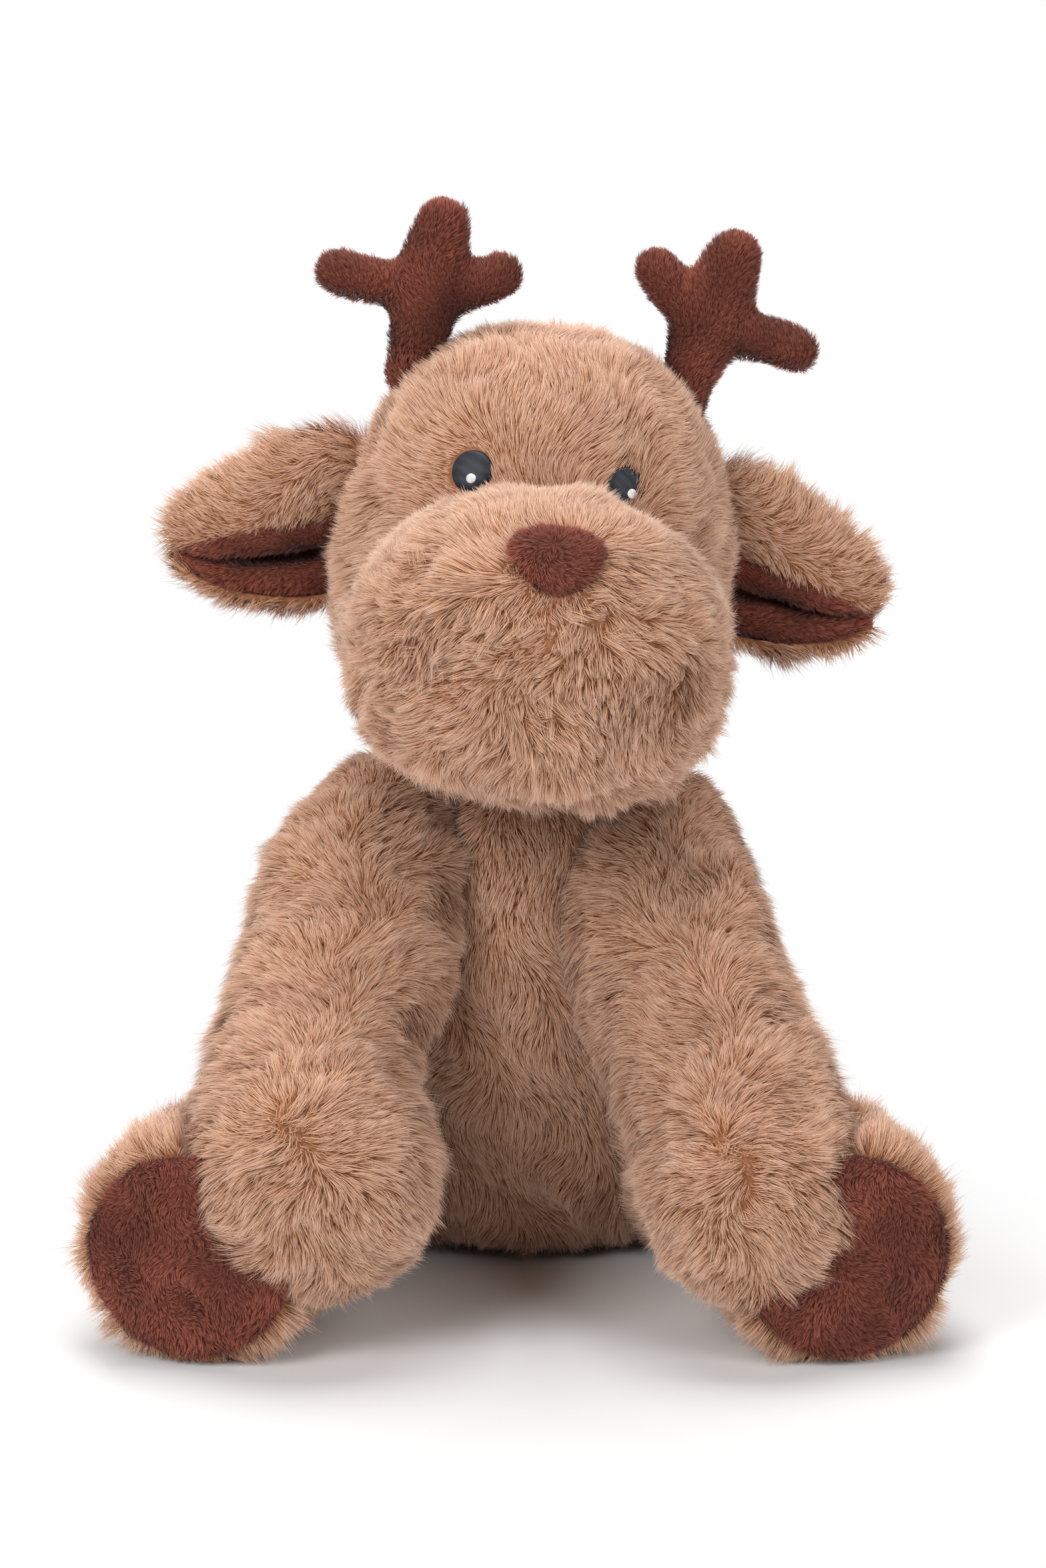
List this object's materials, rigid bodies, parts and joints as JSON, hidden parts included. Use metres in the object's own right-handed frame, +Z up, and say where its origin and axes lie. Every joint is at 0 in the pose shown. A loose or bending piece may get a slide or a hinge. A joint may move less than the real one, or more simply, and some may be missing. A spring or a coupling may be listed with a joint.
{
  "type": "plush deer",
  "caption": "Sitting plush deer in tan fur with a turning, nodding head, jointed arms and legs, soft antlers and folded ears.",
  "frame": {"origin": "centre of the flat seat on the ground", "axes": "+Z up, the deer faces -Y, its own left is at +X"},
  "size_m": [0.2207, 0.1801, 0.2771],
  "materials": {
    "fur": "long tan plush fur",
    "short_pile": "short brown pile",
    "eye": "satin embroidery",
    "glint": "satin embroidery",
    "filling": "loose fibre",
    "pouch": "plain weave"
  },
  "bodies": {
    "torso": {"body_skin": "fur", "body_filling": "filling", "pellet_pouch": "pouch"},
    "neck": {"neck_filling": "filling"},
    "head": {"head_skin": "fur", "head_filling": "filling", "muzzle_skin": "fur", "muzzle_filling": "filling", "nose": "short_pile", "left_eye": "eye", "right_eye": "eye", "left_eye_glint": "glint", "right_eye_glint": "glint"},
    "left_antler": {"left_antler_skin": "short_pile", "left_antler_filling": "filling"},
    "right_antler": {"right_antler_skin": "short_pile", "right_antler_filling": "filling"},
    "left_ear": {"left_ear_outer": "fur", "left_ear_lining": "short_pile"},
    "right_ear": {"right_ear_outer": "fur", "right_ear_lining": "short_pile"},
    "left_arm": {"left_arm_skin": "fur", "left_arm_filling": "filling"},
    "right_arm": {"right_arm_skin": "fur", "right_arm_filling": "filling"},
    "left_leg": {"left_leg_skin": "fur", "left_leg_filling": "filling", "left_sole": "short_pile"},
    "right_leg": {"right_leg_skin": "fur", "right_leg_filling": "filling", "right_sole": "short_pile"}
  },
  "joints": [
    {"name": "head_turn", "type": "hinge", "parent": "torso", "child": "neck", "pos_m": [0, 0.004, 0.135], "axis": [0, 0, 1], "range_deg": [-30, 30]},
    {"name": "head_nod", "type": "hinge", "parent": "neck", "child": "head", "pos_m": [0, 0.004, 0.135], "axis": [-1, 0, 0], "range_deg": [-8, 15]},
    {"name": "left_arm_lift", "type": "hinge", "parent": "torso", "child": "left_arm", "pos_m": [0.032, -0.006, 0.106], "axis": [-0.9903, -0.1392, 0], "range_deg": [0, 40]},
    {"name": "left_leg_spread", "type": "hinge", "parent": "torso", "child": "left_leg", "pos_m": [0.04, -0.01, 0.029], "axis": [0, 0, 1], "range_deg": [0, 15]},
    {"name": "left_ear_bend", "type": "hinge", "parent": "head", "child": "left_ear", "pos_m": [0.04893, 0.00857, 0.18635], "axis": [0.2585, 0.0135, 0.9659], "range_deg": [-12, 12], "stiffness_Nm_per_rad": 0.02},
    {"name": "left_antler_flex", "type": "hinge", "parent": "head", "child": "left_antler", "pos_m": [0.03993, 0.0101, 0.226], "axis": [0.0523, -0.9986, 0], "range_deg": [-12, 12], "stiffness_Nm_per_rad": 0.1},
    {"name": "right_arm_lift", "type": "hinge", "parent": "torso", "child": "right_arm", "pos_m": [-0.038, -0.006, 0.1095], "axis": [-0.9903, 0.1392, 0], "range_deg": [0, 40]},
    {"name": "right_leg_spread", "type": "hinge", "parent": "torso", "child": "right_leg", "pos_m": [-0.04, -0.01, 0.029], "axis": [0, 0, -1], "range_deg": [0, 15]},
    {"name": "right_ear_bend", "type": "hinge", "parent": "head", "child": "right_ear", "pos_m": [-0.0484, 0.00347, 0.1966], "axis": [-0.0523, -0.0027, 0.9986], "range_deg": [-12, 12], "stiffness_Nm_per_rad": 0.02},
    {"name": "right_antler_flex", "type": "hinge", "parent": "head", "child": "right_antler", "pos_m": [-0.03158, 0.00635, 0.23353], "axis": [0.0523, -0.9986, 0], "range_deg": [-12, 12], "stiffness_Nm_per_rad": 0.1}
  ]
}
